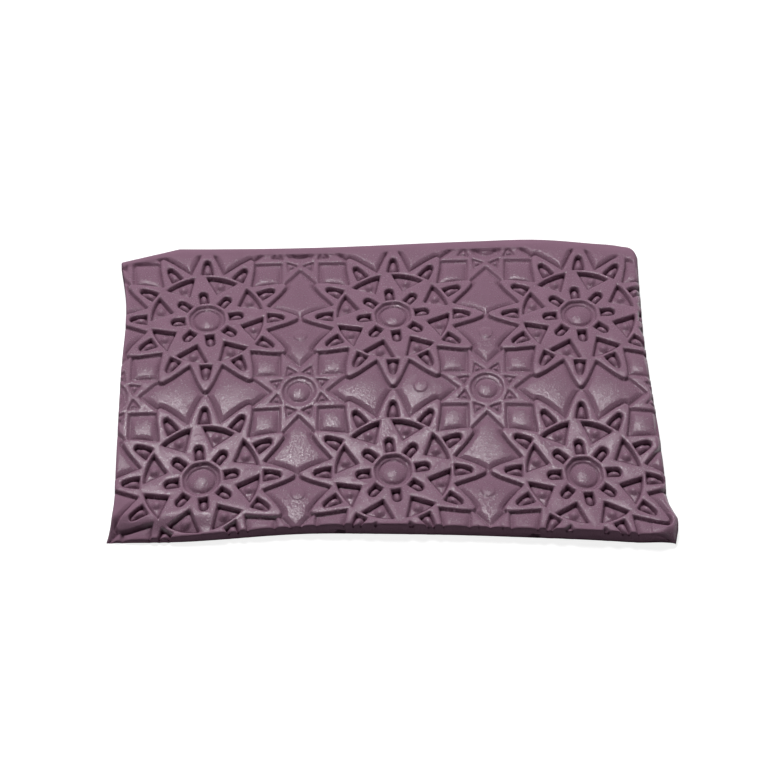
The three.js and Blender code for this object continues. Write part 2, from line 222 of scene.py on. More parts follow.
# How the sheet lies
ARCH_MIDDLE = 4.6
ARCH_HALF_DEPTH = 36
FRONT_BOW = 1.044
BOW_CHANGE = 0.0263
BOW_SPAN = 47.2
END_TURN = 0.456
SKEW = 0.0275
WAIST = 0.0128
WAIST_REACH = 36

# Surface of the rubber
MOTTLE_SIZE = 6.0
MOTTLE_SHADES = (0.94, 1.07)
WAVE_SIZE = 3.0
WAVE_HEIGHT = 0.05
GRAIN_HEIGHT = 0.1
GRAIN_ROUGHNESS = 0.6
ROUGHNESS_SPREAD = 0.07
ROUGHNESS_GRAIN = (0.3, 0.7)
SPARKLE_GRAIN = (0.35, 0.65)
SPARKLE_LEVELS = (0.05, 1.9)
RECESS_DULLING = 2

# Table, lamps and camera. These lengths are metres, only the target is millimetres
TABLE_HALF_WIDTH = 3.0
TABLE_SHADE = 0.4
TABLE_GLOW = 0.85
KEY_PLACE = (-0.12, 0.53, 1.05)
KEY_SIZE = 0.42
OVERHEAD_PLACE = (-0.12, 0.2, 1.15)
OVERHEAD_SIZE = 0.34
WORLD_LIGHT = 0.02
VIEW_LIMIT = 20
TARGET = (-0.16, -3.0, 4.8)
SENSOR_WIDTH = 36

# Width of the picture and focal length of the camera, in pixels
PICTURE_WIDTH = 784
FOCAL_LENGTH = 3860


class SheetSettings(PropertyGroup):
    pitch: FloatProperty(
        name="Pitch", description="Distance between large rosettes", default=47 * MM, unit="LENGTH",
        precision=4)
    front_row: FloatProperty(
        name="Front Row", description="Place of the front row of rosettes, from the middle of the pattern",
        default=-26.35 * MM, unit="LENGTH", precision=4)
    thickness: FloatProperty(
        name="Thickness", description="From the underside to the top of the relief",
        default=4.8 * MM, unit="LENGTH", precision=4)
    arch_height: FloatProperty(
        name="Arch Height", description="How far the middle of the sheet rises off the table",
        default=3.19 * MM, unit="LENGTH", precision=4)
    grid_step: FloatProperty(
        name="Grid Step", description="Distance between mesh points before the mesh is thinned out",
        default=0.2 * MM, unit="LENGTH", precision=5)
    relief_faces: IntProperty(
        name="Relief Faces", description="Triangles that the relief keeps", default=180000, min=20000)


class RubberSettings(PropertyGroup):
    colour: FloatVectorProperty(
        name="Colour", description="Colour of the rubber", subtype="COLOR", size=3, min=0, max=1,
        default=(0.262, 0.148, 0.208))
    # Painted shade: the colour painted at the bottom of the deepest recesses, where shade falls
    painted_recess_shade: FloatVectorProperty(
        name="Painted Recess Shade", description="Painted shade at the bottom of the deepest recesses",
        subtype="COLOR", size=3, min=0, max=1, default=(0.045, 0.012, 0.028))
    roughness: FloatProperty(
        name="Roughness", description="Roughness of the moulded surface", default=0.23, min=0, max=1)
    speckle: FloatProperty(
        name="Speckle Size", description="Width of the fine grain in the moulded surface",
        default=0.45 * MM, unit="LENGTH", precision=5)


class StageSettings(PropertyGroup):
    floor_colour: FloatVectorProperty(
        name="Floor Colour", description="Colour of the table", subtype="COLOR", size=3, min=0, max=1,
        default=(0.52, 0.52, 0.52))
    key_power: FloatProperty(
        name="Key Light", description="Power of the soft light behind the sheet", default=13.4,
        unit="POWER")
    overhead_power: FloatProperty(
        name="Overhead Light", description="Power of the small light over the sheet", default=3.2,
        unit="POWER")
    elevation: FloatProperty(
        name="Camera Elevation", description="Height of the camera as an angle", default=math.radians(54),
        subtype="ANGLE")
    distance: FloatProperty(
        name="Camera Distance", description="From the camera to the middle of the sheet", default=0.969,
        unit="LENGTH", precision=4)


# Outlines and distances

def smooth_line(points, at):
    """A smooth line through a few (place, value) points."""
    places, values = np.array(points, float).T
    slopes = np.gradient(values, places)
    index = np.clip(np.searchsorted(places, at) - 1, 0, len(places) - 2)
    width = places[index + 1] - places[index]
    share = np.clip((at - places[index]) / width, 0, 1)
    rest = 1 - share
    return (
        (1 + 2 * share) * rest ** 2 * values[index]
        + share * rest ** 2 * width * slopes[index]
        + share ** 2 * (3 - 2 * share) * values[index + 1]
        - share ** 2 * rest * width * slopes[index + 1])


def left_edge(y):
    return smooth_line(LEFT_EDGE, y)


def right_edge(y):
    return smooth_line(RIGHT_EDGE, y)


def front_edge(x):
    return smooth_line(FRONT_EDGE, x)


def back_edge(x):
    (start_x, start_y), (end_x, end_y) = CUT_CORNER
    cut = start_y + (end_y - start_y) * (x - start_x) / (end_x - start_x)
    return np.where(x < end_x, cut, smooth_line(BACK_EDGE, x))


def signed_distance(x, y, chain, closing=()):
    """Distance to a line of points, negative inside the outline that the closing points complete."""
    nearest = np.full(x.shape, np.inf)
    for (ax, ay), (bx, by) in zip(chain[:-1], chain[1:]):
        share = ((x - ax) * (bx - ax) + (y - ay) * (by - ay)) / ((bx - ax) ** 2 + (by - ay) ** 2)
        share = np.clip(share, 0, 1)
        nearest = np.minimum(nearest, (x - ax - share * (bx - ax)) ** 2 + (y - ay - share * (by - ay)) ** 2)
    outline = list(chain) + list(closing)
    inside = np.zeros(x.shape, bool)
    for (ax, ay), (bx, by) in zip(outline, outline[1:] + outline[:1]):
        if ay != by:
            inside ^= ((ay > y) != (by > y)) & (x < ax + (bx - ax) * (y - ay) / (by - ay))
    return np.where(inside, -1, 1) * np.sqrt(nearest)


def line_distance(x, y, start, end):
    """Distance to the left of the line from start to end."""
    length = math.dist(start, end)
    return ((end[0] - start[0]) * (y - start[1]) - (end[1] - start[1]) * (x - start[0])) / length


def fold(x, y, count, turn=0.0):
    """Place along and across the nearest of a number of equal arms."""
    step = 2 * math.pi / count
    angle = np.arctan2(y, x) - turn
    off = angle - np.round(angle / step) * step
    radius = np.hypot(x, y)
    return radius * np.cos(off), radius * np.abs(np.sin(off))


def drop(distance, rounding):
    """How far a raised edge has fallen at a distance past its outline."""
    inward = np.clip(distance + rounding, 0, rounding)
    return inward ** 2 / rounding + WALL_SLOPE * np.maximum(distance, 0)


def mound(outline, along, across, depth, shape):
    """Floor of a window, with a low step along its outline and a round mound in its middle."""
    centre, half_length, half_width, height = shape
    away = np.minimum(np.hypot((along - centre) / half_length, across / half_width), 1)
    step = STEP_RISE * smooth_step(-outline, *STEP_PLACE)
    return step + height * (1 - away ** MOUND_POWER) - depth


def cut(land, distance, floor, rounding):
    """The land with a window cut in it, down to its floor."""
    return np.minimum(land, np.maximum(-drop(-distance, rounding), floor))


# The large rosette

def petal_chain():
    valley_angle = math.pi / PETALS
    centre = PETAL_TIP_RADIUS - PETAL_TIP_ROUNDING
    tip = [
        (centre + PETAL_TIP_ROUNDING * math.cos(angle), PETAL_TIP_ROUNDING * math.sin(angle))
        for angle in np.radians(PETAL_TIP_ANGLES)]
    return [
        (VALLEY_RADIUS * math.cos(valley_angle), VALLEY_RADIUS * math.sin(valley_angle)), PETAL_KNEE, *tip]


def petal_window_chain():
    length = PETAL_WINDOW_OUTER - PETAL_WINDOW_INNER
    side = [
        (PETAL_WINDOW_INNER + share * length, PETAL_WINDOW_HALF_WIDTH * (1 - share) ** PETAL_WINDOW_TAPER)
        for share in PETAL_WINDOW_SHARES]
    return [(PETAL_WINDOW_INNER, 0), *side]


def boss(radius, flange_inner, dome_radius):
    """Level of a domed boss and the flange round it."""
    dome = -DOME_DROP - DOME_RISE * (radius / dome_radius) ** DOME_POWER
    dome = dome - drop(radius - dome_radius, DOME_ROUNDING)
    flange = -FLANGE_DROP - drop(flange_inner - radius, FLANGE_ROUNDING)
    return np.maximum(np.maximum(dome, flange), -GROOVE_DROP)


def large_rosette(x, y):
    """Distance to the outline of a large rosette, and its level."""
    radius = np.hypot(x, y)
    along, across = fold(x, y, PETALS)
    outline = signed_distance(along, across, petal_chain(), [(0, 0)])
    level = -drop(outline, LAND_ROUNDING)

    window = signed_distance(along, across, petal_window_chain())
    floor = mound(window, along, across, PETAL_WINDOW_DEPTH, PETAL_MOUND)
    level = cut(level, window, floor, LAND_ROUNDING)

    along, across = fold(x, y, ARMS, STAR_TURN)
    arch = np.hypot(np.maximum(along - ARCH_CENTRE, 0), across) - ARCH_HALF_WIDTH
    arch = np.maximum(arch, ARCH_INNER - radius)
    level = cut(level, arch, mound(arch, along, across, ARCH_DEPTH, ARCH_MOUND), LAND_ROUNDING)
    pocket = np.maximum(along - POCKET_HALF_WIDTH, radius - POCKET_RADIUS)

    along, across = fold(x, y, ARMS, STAR_TURN + math.pi / ARMS)
    apex = (TRIANGLE_APEX_RADIUS, 0)
    corner = (
        TRIANGLE_BASE_RADIUS * math.cos(TRIANGLE_HALF_SPREAD),
        TRIANGLE_BASE_RADIUS * math.sin(TRIANGLE_HALF_SPREAD))
    triangle = np.maximum(line_distance(along, across, apex, corner), radius - TRIANGLE_BASE_RADIUS)
    floor = mound(triangle, along, across, TRIANGLE_DEPTH, TRIANGLE_MOUND)
    level = cut(level, triangle, floor, LAND_ROUNDING)

    level = cut(level, pocket, boss(radius, FLANGE_INNER, DOME_RADIUS), LAND_ROUNDING)
    return outline, level


# The small rosette

def small_star_chain():
    near, far = ARM_END_HALF_WIDTH
    half = [(NOTCH_RADIUS, 0), (ARM_END, near), (ARM_END, far)]
    return half + [(far, far)] + [(y, x) for x, y in reversed(half)]


def small_rosette(x, y):
    """Distance to the outline of a small rosette, and its level."""
    radius = np.hypot(x, y)
    outline = signed_distance(np.abs(x), np.abs(y), small_star_chain(), [(0, 0)])
    level = -drop(outline, SMALL_STAR_ROUNDING)

    along, across = fold(x, y, ARMS, math.pi / ARMS)
    apex = (SMALL_WINDOW_OUTER, 0)
    corner = (SMALL_WINDOW_INNER, SMALL_WINDOW_HALF_WIDTH)
    window = np.maximum(line_distance(along, across, corner, apex), SMALL_WINDOW_INNER - along)
    floor = mound(window, along, across, SMALL_WINDOW_DEPTH, SMALL_MOUND)
    level = cut(level, window, floor, SMALL_WINDOW_ROUNDING)
    small_boss = SMALL_BOSS_SHARE * boss(radius, SMALL_FLANGE_INNER, SMALL_DOME_RADIUS)
    level = cut(level, radius - SMALL_POCKET_RADIUS, small_boss, SMALL_WINDOW_ROUNDING)
    return outline, level - SMALL_STAR_DROP


# Kites and squares between the rosettes

def cell(away, x, y, flush):
    """Level of the pillow in a cell, from the distance to the land and the place from the small rosette."""
    long_way, short_way = np.maximum(np.abs(x), np.abs(y)), np.minimum(np.abs(x), np.abs(y))
    is_square = (short_way > ARM_END_HALF_WIDTH[1]) & (long_way < SQUARE_OUTER)
    from_kite = np.hypot(long_way - KITE_MIDDLE, short_way) / KITE_REACH
    from_square = np.hypot(long_way - SQUARE_MIDDLE, short_way - SQUARE_MIDDLE) / SQUARE_REACH
    kite_top = KITE_DROP + KITE_DOME * (1 - flush) * from_kite ** 2
    top = -np.where(is_square, SQUARE_DROP + SQUARE_DOME * from_square ** 2, kite_top)
    edge = 1 - np.clip((away - GROOVE_WIDTH) / np.where(is_square, SQUARE_ROUNDING, KITE_ROUNDING), 0, 1)
    pillow = top - (CELL_FLOOR_DROP + top) * (1 - np.sqrt(1 - edge ** 2))
    crease = CREASE_DEPTH * np.clip(1 - ((away - CREASE_PLACE) / CREASE_HALF_WIDTH) ** 2, 0, 1)
    return pillow - crease


def marks(x, y):
    """Low round discs with a soft edge."""
    height = np.zeros_like(x)
    for centre_x, centre_y in MARKS:
        radius = np.hypot(x - centre_x, y - centre_y)
        height += MARK_HEIGHT * (1 - smooth_step(radius, MARK_RADIUS - MARK_EDGE, MARK_RADIUS))
    return height


def wrap(value, pitch):
    return value - np.round(value / pitch) * pitch


def relief(x, y, pitch, front_row):
    """Level of the whole pattern over the flat sheet."""
    large_outline, large_level = large_rosette(wrap(x, pitch), wrap(y - front_row, pitch))
    small_x = wrap(x - pitch / 2, pitch)
    small_y = wrap(y - front_row - pitch / 2, pitch)
    small_outline, small_level = small_rosette(small_x, small_y)
    away = np.minimum(large_outline, small_outline)
    flush = smooth_step(y, *FLUSH_PLACE)
    between = np.where(away > 0, cell(away, small_x, small_y, flush) + marks(x, y), -np.inf)
    land = np.where(large_outline < small_outline, large_level, np.maximum(large_level, small_level))
    level = np.maximum(land, between)

    # The front petal of each large rosette has no window
    from_window = np.hypot(wrap(x, pitch), y - front_row + PLAIN_WINDOW_RADIUS)
    share = 1 - smooth_step(from_window, *PLAIN_WINDOW_REACH)
    level = level + share * (-drop(large_outline, LAND_ROUNDING) - level)

    # The front right corner is plain up to the large rosette
    edge = 1 - np.clip((large_outline - GROOVE_WIDTH) / SQUARE_ROUNDING, 0, 1)
    plain_corner = -CELL_FLOOR_DROP * (1 - np.sqrt(1 - edge ** 2))
    from_lip = np.hypot(x - LIP_CENTRE[0], y - LIP_CENTRE[1])
    share = (1 - smooth_step(from_lip, LIP_RADIUS - LIP_BLEND, LIP_RADIUS)) * (large_outline > 0)
    return level + share * (plain_corner - level)


# The sheet

def spread(values, reach, times):
    """Blurs the levels over a wide reach, counted in points of the net."""
    for _ in range(times):
        for axis in (0, 1):
            count = values.shape[axis]
            before = np.repeat(np.take(values, [0], axis), reach + 1, axis)
            after = np.repeat(np.take(values, [-1], axis), reach, axis)
            total = np.cumsum(np.concatenate([before, values, after], axis), axis)
            upper = np.take(total, range(2 * reach + 1, 2 * reach + 1 + count), axis)
            lower = np.take(total, range(count), axis)
            values = (upper - lower) / (2 * reach + 1)
    return values


def shade_of(level, step):
    """Painted shade and painted light: how much darker than the land the colour is painted in a recess,
    where shade falls, and how much lighter it is painted on an edge.
    """
    recess = spread(level, round(SHADE_REACH / step), SHADE_BLURS) - level
    dark = np.clip(recess / SHADE_DEPTH, 0, 1) ** SHADE_POWER
    light = LIGHT_ON_EDGE * np.clip(-recess / SHADE_DEPTH, 0, 1)
    return 1 - dark + light


def look_up(net, x, y):
    """Values of a net of the sheet at single points."""
    rows, columns = net.shape
    left, front = left_edge(y), front_edge(x)
    across = np.clip((x - left) / (right_edge(y) - left), 0, 1) * (columns - 1)
    along = np.clip((y - front) / (back_edge(x) - front), 0, 1) * (rows - 1)
    column = np.minimum(across.astype(int), columns - 2)
    row = np.minimum(along.astype(int), rows - 2)
    across, along = across - column, along - row
    before = net[row, column] * (1 - across) + net[row, column + 1] * across
    behind = net[row + 1, column] * (1 - across) + net[row + 1, column + 1] * across
    return before * (1 - along) + behind * along


def soften(values, times):
    """Blurs the levels a little, as moulded rubber has no sharp corner."""
    for _ in range(times):
        for axis in (0, 1):
            wide = np.concatenate([
                np.take(values, [0], axis), values, np.take(values, [-1], axis)], axis)
            count = values.shape[axis]
            before = np.take(wide, range(count), axis)
            after = np.take(wide, range(2, count + 2), axis)
            values = (before + 2 * values + after) / 4
    return values


def smooth_step(value, low, high):
    share = np.clip((value - low) / (high - low), 0, 1)
    return share * share * (3 - 2 * share)


def flat_points(step):
    """A net of points over the flat sheet, with its outer rows on the outline."""
    columns = 2 * round(NET_LENGTH / 2 / step) + 1
    rows = 2 * round(NET_DEPTH / 2 / step) + 1
    across, along = np.meshgrid(np.linspace(0, 1, columns), np.linspace(0, 1, rows))
    y = NET_FRONT + (NET_BACK - NET_FRONT) * along
    x = np.zeros_like(y)
    for _ in range(NET_ROUNDS):
        left = left_edge(y)
        x = left + across * (right_edge(y) - left)
        front = front_edge(x)
        y = front + along * (back_edge(x) - front)
    return x, y


def top_levels(x, y, pitch, front_row, thickness):
    """Level of the upper face over each point, from the top of the relief."""
    level = relief(x, y, pitch, front_row)
    to_back = back_edge(x) - y
    beyond_x = np.maximum(x - WORN_START[0], 0) / WORN_REACH[0]
    beyond_y = np.maximum(y - WORN_START[1], 0) / WORN_REACH[1]
    worn = smooth_step(np.hypot(beyond_x, beyond_y), *WORN_PLACE)
    inward = to_back - BACK_BORDER_WIDTH - WORN_BORDER * worn
    step = x[0, 1] - x[0, 0]
    melt = worn * (1 - smooth_step(inward, 0, MELT_WIDTH))
    level = level * (1 - melt) + spread(level, round(MELT_REACH / step), MELT_BLURS) * melt
    keep = smooth_step(inward, 0, BACK_FADE * (1 + worn))
    level = level * keep - BACK_BORDER_DROP * (1 - keep)

    # The front left corner is pressed down to a thin edge
    share = np.clip((x - left_edge(y)) / BEVEL_LENGTH, 0, 1)
    cut_drop = (thickness - BEVEL_CORNER_THICKNESS) * (1 - share) ** BEVEL_POWER
    level = level - cut_drop * (1 - smooth_step(y - front_edge(x), 0, BEVEL_REACH))
    level = soften(level, SOFTENING)

    for name, away in (
            ("left", x - left_edge(y)), ("right", right_edge(y) - x),
            ("front", y - front_edge(x)), ("back", to_back)):
        rounding = EDGE_ROUNDING[name]
        level = level - np.minimum(drop(-away, rounding), rounding)

    # The front right corner is rounded off
    depth = LIP_DEPTH * np.clip((x - LIP_START) / LIP_LENGTH, LIP_LEAST, 1) ** LIP_POWER
    inward = np.clip((y - front_edge(x)) / depth, 0, 1)
    return level - np.minimum(LIP_FALL, depth) * (1 - inward) ** 2


def dullness(x, y):
    """1 along the cut edges, 0 on the moulded face."""
    left, front, to_back = x - left_edge(y), y - front_edge(x), back_edge(x) - y
    inward = np.minimum.reduce([left, right_edge(y) - x, front, to_back])
    shine = smooth_step(inward, 0, DULL_EDGE) * smooth_step(to_back, *DULL_BACK)
    return 1 - shine * smooth_step(np.hypot(left, front), *DULL_CORNER)


def lay(points, arch_height):
    """Moves points of the flat sheet to where they are when it rests on its front and back edges."""
    x, y, z = points.T
    from_middle = np.clip((y - ARCH_MIDDLE) / ARCH_HALF_DEPTH, -1, 1)
    rise = arch_height * np.cos(math.pi / 2 * from_middle) ** 2
    bow = (FRONT_BOW - BOW_CHANGE * y) * (x / BOW_SPAN) ** 2 + END_TURN * (x / BOW_SPAN) ** 3
    widening = 1 + WAIST * (y / WAIST_REACH) ** 2
    return np.column_stack([x * widening, y + SKEW * x - bow, z + rise])


def mesh_of(name, points, faces):
    mesh = bpy.data.meshes.new(name)
    mesh.vertices.add(len(points))
    mesh.vertices.foreach_set("co", np.asarray(points, np.float32).ravel())
    sizes = [len(face) for face in faces]
    corners = np.concatenate(faces)
    mesh.loops.add(len(corners))
    mesh.loops.foreach_set("vertex_index", np.asarray(corners, np.int32))
    mesh.polygons.add(len(faces))
    starts = np.concatenate([[0], np.cumsum(sizes)[:-1]])
    mesh.polygons.foreach_set("loop_start", np.asarray(starts, np.int32))
    mesh.update(calc_edges=True)
    return mesh


def thinned(points, faces, wanted):
    """The same surface with fewer triangles where it is flat."""
    mesh = mesh_of("relief", points, faces)
    relief_object = bpy.data.objects.new("relief", mesh)
    bpy.context.scene.collection.objects.link(relief_object)
    modifier = relief_object.modifiers.new("Thin", "DECIMATE")
    modifier.ratio = wanted / (2 * len(faces))
    thin = relief_object.evaluated_get(bpy.context.evaluated_depsgraph_get()).to_mesh()
    thin.calc_loop_triangles()
    thin_points = np.empty(3 * len(thin.vertices))
    thin.vertices.foreach_get("co", thin_points)
    triangles = np.empty(3 * len(thin.loop_triangles), np.int64)
    thin.loop_triangles.foreach_get("vertices", triangles)
    relief_object.to_mesh_clear()
    bpy.data.objects.remove(relief_object)
    bpy.data.meshes.remove(mesh)
    return thin_points.reshape(-1, 3), triangles.reshape(-1, 3)


def border_loop(triangles):
    """The vertices round an open surface, in order, as its triangles turn."""
    edges = np.concatenate([triangles[:, [0, 1]], triangles[:, [1, 2]], triangles[:, [2, 0]]])
    pairs = {(int(a), int(b)) for a, b in edges}
    follow = {a: b for a, b in pairs if (b, a) not in pairs}
    start = min(follow)
    loop = [start]
    while follow[loop[-1]] != start:
        loop.append(follow[loop[-1]])
    return loop


def outward(points):
    """Unit vectors that point out of a closed loop of plane points that turns to the left."""
    ahead = np.roll(points, -1, 0) - np.roll(points, 1, 0)
    normal = np.column_stack([ahead[:, 1], -ahead[:, 0]])
    return normal / np.linalg.norm(normal, axis=1)[:, None]


def side_rings(edge):
    """Loops of points down the cut side, from just below the upper face to the underside."""
    out = outward(edge[:, :2])
    from_corner = np.hypot(edge[:, 0] - LIP_CENTRE[0], edge[:, 1] - FRONT_EDGE[-1][1])
    cut_back = UNDERCUT * (1 - smooth_step(from_corner, 0, UNDERCUT_REACH))
    rings = []
    for share, push in SIDE_RINGS:
        ring = edge.copy()
        ring[:, :2] += push * out
        ring[:, 1] += cut_back * min(UNDERCUT_RATE * (1 - share), 1)
        if NOTCH_SHARES[0] < share < NOTCH_SHARES[1]:
            for notch in NOTCHES:
                beside = np.clip(np.abs(edge[:, 0] - notch) / NOTCH_HALF_WIDTH, 0, 1)
                ring[:, 1] += NOTCH_DEPTH * (1 - beside ** 2) * (edge[:, 1] < 0)
        ring[:, 2] *= share
        rings.append(ring)
    return rings


def underside(ring, first, beyond):
    """Points inside the lowest ring, and the faces that close it.

    The ring's points are numbered from first, and the new ones from beyond.
    """
    count = len(ring)
    margin = UNDERSIDE_MARGIN
    inner = [
        (x, y) for x in UNDERSIDE_X for y in UNDERSIDE_Y
        if left_edge(y) + margin < x < right_edge(y) - margin
        and front_edge(x) + margin < y < back_edge(x) - margin]
    plane = [Vector(point[:2]) for point in ring] + [Vector(point) for point in inner]
    outline = [list(range(count))]
    places, _, faces, origins = delaunay_2d_cdt(plane, [], outline, KEEP_INSIDE, MERGE_DISTANCE)[:4]
    number = []
    added = []
    for place, origin in zip(places, origins):
        if origin and origin[0] < count:
            number.append(first + origin[0])
        else:
            number.append(beyond + len(added))
            added.append((place.x, place.y, 0.0))
    return np.array(added), [np.array([number[vertex] for vertex in reversed(face)]) for face in faces]


class CLAYSHEET_OT_sheet(Operator):
    """Make the rubber sheet with its relief"""
    bl_idname = "claysheet.sheet"
    bl_label = "Make Sheet"

    def execute(self, context):
        settings = context.scene.clay_sheet
        pitch = settings.pitch / MM
        thickness = settings.thickness / MM
        step = settings.grid_step / MM

        # The levels are worked out on a net twice as fine as the mesh, which makes the painted shade
        # smoother
        x, y = flat_points(step / 2)
        level = top_levels(x, y, pitch, settings.front_row / MM, thickness)
        shade = shade_of(level, step / 2)
        x, y, level = x[::2, ::2], y[::2, ::2], level[::2, ::2]
        rows, columns = x.shape
        points = np.column_stack([x.ravel(), y.ravel(), level.ravel() + thickness])
        corner = (np.arange(rows - 1)[:, None] * columns + np.arange(columns - 1)).ravel()
        faces = np.column_stack([corner, corner + 1, corner + columns + 1, corner + columns])
        top, triangles = thinned(points, faces, settings.relief_faces)
        loop = border_loop(triangles)

        rings = side_rings(top[loop])
        count = len(loop)
        sides = []
        upper = np.array(loop)
        for index in range(len(rings)):
            lower = len(top) + index * count + np.arange(count)
            sides.append(np.column_stack([upper, lower, np.roll(lower, -1), np.roll(upper, -1)]))
            upper = lower
        lowest = len(top) + (len(rings) - 1) * count
        added, bottom = underside(rings[-1], lowest, lowest + count)

        flat = np.concatenate([top, *rings, added])
        laid = lay(flat, settings.arch_height / MM)
        low, high = laid.min(0), laid.max(0)
        laid -= [(low[0] + high[0]) / 2, (low[1] + high[1]) / 2, low[2]]
        all_faces = [*triangles, *np.concatenate(sides), *bottom]
        mesh = mesh_of("texture_sheet_visual", laid * MM, all_faces)

        # The sides and the underside have the land's colour, with no painted shade, and no sheen
        painted_shade_and_cut = np.tile([1.0, 1.0, 0.0, 1.0], (len(flat), 1))
        # Red holds the painted shade of recesses and the painted light of edges; green is 1 on cut faces
        painted_shade_and_cut[:len(top), 0] = look_up(shade, top[:, 0], top[:, 1])
        painted_shade_and_cut[:len(top), 1] = dullness(top[:, 0], top[:, 1])
        layer = mesh.color_attributes.new("painted_shade_and_cut", "FLOAT_COLOR", "POINT")
        layer.data.foreach_set("color", painted_shade_and_cut.ravel())
        mesh.validate()
        mesh.shade_smooth()
        mesh.materials.append(rubber_material(context.scene.clay_rubber))

        sheet = bpy.data.objects.new("texture_sheet_visual", mesh)
        context.scene.collection.objects.link(sheet)
        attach(sheet, "root")
        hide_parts("texture_sheet")
        return {"FINISHED"}


def noise(tree, place, size, detail, roughness=0.5):
    node = tree.nodes.new("ShaderNodeTexNoise")
    node.inputs["Scale"].default_value = 1 / size
    node.inputs["Detail"].default_value = detail
    node.inputs["Roughness"].default_value = roughness
    tree.links.new(place, node.inputs["Vector"])
    return node.outputs["Fac"]


def graded(tree, value, before, after):
    """The value, moved from one range to another and held inside it."""
    node = tree.nodes.new("ShaderNodeMapRange")
    for name, limit in zip(("From Min", "From Max", "To Min", "To Max"), (*before, *after)):
        node.inputs[name].default_value = limit
    tree.links.new(value, node.inputs["Value"])
    return node.outputs["Result"]


def math_node(tree, operation, first, second=None):
    node = tree.nodes.new("ShaderNodeMath")
    node.operation = operation
    tree.links.new(first, node.inputs[0])
    if second is not None:
        tree.links.new(second, node.inputs[1])
    return node


def mixed(tree, factor):
    node = tree.nodes.new("ShaderNodeMix")
    node.data_type = "RGBA"
    tree.links.new(factor, node.inputs["Factor"])
    return node


def bump(tree, height, value):
    node = tree.nodes.new("ShaderNodeBump")
    node.inputs["Strength"].default_value = 1
    node.inputs["Distance"].default_value = height * MM
    tree.links.new(value, node.inputs["Height"])
    return node


def rubber_material(settings):
    """Mottled rubber, with painted shade in its recesses and painted light on its edges, and a fine grain
    that breaks up its gloss.
    """
    material = bpy.data.materials.new("moulded_rubber")
    material.use_nodes = True
    tree = material.node_tree
    links = tree.links
    shader = tree.nodes["Principled BSDF"]
    place = tree.nodes.new("ShaderNodeTexCoord").outputs["Object"]
    grain = noise(tree, place, settings.speckle, detail=2, roughness=GRAIN_ROUGHNESS)
    mottle = noise(tree, place, MOTTLE_SIZE * MM, detail=3)
    waves = noise(tree, place, WAVE_SIZE * MM, detail=1)

    # Red is the painted shade, dark in a recess and light on an edge. Green is 1 on cut faces
    painted_shade_and_cut = tree.nodes.new("ShaderNodeAttribute")
    painted_shade_and_cut.attribute_name = "painted_shade_and_cut"
    parts = tree.nodes.new("ShaderNodeSeparateColor")
    links.new(painted_shade_and_cut.outputs["Color"], parts.inputs["Color"])
    shade, is_cut = parts.outputs["Red"], parts.outputs["Green"]

    mottled = mixed(tree, mottle)
    for name, share in zip("AB", MOTTLE_SHADES):
        mottled.inputs[name].default_value = (*[share * channel for channel in settings.colour], 1)
    # Painted shade: the colour is mixed towards the painted recess shade in recesses, and lightened past
    # the land colour on edges
    shaded = mixed(tree, shade)
    shaded.clamp_factor = False
    shaded.inputs["A"].default_value = (*settings.painted_recess_shade, 1)
    links.new(mottled.outputs["Result"], shaded.inputs["B"])
    links.new(shaded.outputs["Result"], shader.inputs["Base Color"])

    # A cut face is duller than a moulded one, and the painted shade also dulls the gloss in a recess
    sheen = graded(tree, is_cut, (0, 1), (1, 0))
    out_of_recess = math_node(tree, "POWER", shade)
    out_of_recess.use_clamp = True
    out_of_recess.inputs[1].default_value = RECESS_DULLING
    dulled = math_node(tree, "MULTIPLY", sheen, out_of_recess.outputs["Value"])
    sparkle = graded(tree, grain, SPARKLE_GRAIN, SPARKLE_LEVELS)
    speckled = math_node(tree, "MULTIPLY", dulled.outputs["Value"], sparkle)
    links.new(speckled.outputs["Value"], shader.inputs["Specular IOR Level"])

    spread_of_gloss = (settings.roughness - ROUGHNESS_SPREAD, settings.roughness + ROUGHNESS_SPREAD)
    links.new(graded(tree, grain, ROUGHNESS_GRAIN, spread_of_gloss), shader.inputs["Roughness"])

    soft = bump(tree, WAVE_HEIGHT, waves)
    fine = bump(tree, GRAIN_HEIGHT, grain)
    links.new(soft.outputs["Normal"], fine.inputs["Normal"])
    links.new(fine.outputs["Normal"], shader.inputs["Normal"])
    return material


def table_material(colour):
    """A plain table that the camera sees as white, and that keeps the shadow of the sheet."""
    material = bpy.data.materials.new("pale_table")
    material.use_nodes = True
    tree = material.node_tree
    nodes, links = tree.nodes, tree.links
    nodes.clear()
    output = nodes.new("ShaderNodeOutputMaterial")
    unseen = nodes.new("ShaderNodeBsdfDiffuse")
    unseen.inputs["Color"].default_value = (*colour, 1)
    white = nodes.new("ShaderNodeBsdfDiffuse")
    white.inputs["Color"].default_value = (TABLE_SHADE, TABLE_SHADE, TABLE_SHADE, 1)
    lift = nodes.new("ShaderNodeEmission")
    lift.inputs["Strength"].default_value = TABLE_GLOW
    seen = nodes.new("ShaderNodeAddShader")
    links.new(white.outputs["BSDF"], seen.inputs[0])
    links.new(lift.outputs["Emission"], seen.inputs[1])
    path = nodes.new("ShaderNodeLightPath").outputs
    direct = math_node(tree, "MAXIMUM", path["Is Camera Ray"], path["Is Glossy Ray"])
    either = math_node(tree, "MAXIMUM", direct.outputs["Value"], path["Is Transmission Ray"])
    choice = nodes.new("ShaderNodeMixShader")
    links.new(either.outputs["Value"], choice.inputs["Fac"])
    links.new(unseen.outputs["BSDF"], choice.inputs[1])
    links.new(seen.outputs["Shader"], choice.inputs[2])
    links.new(choice.outputs["Shader"], output.inputs["Surface"])
    return material


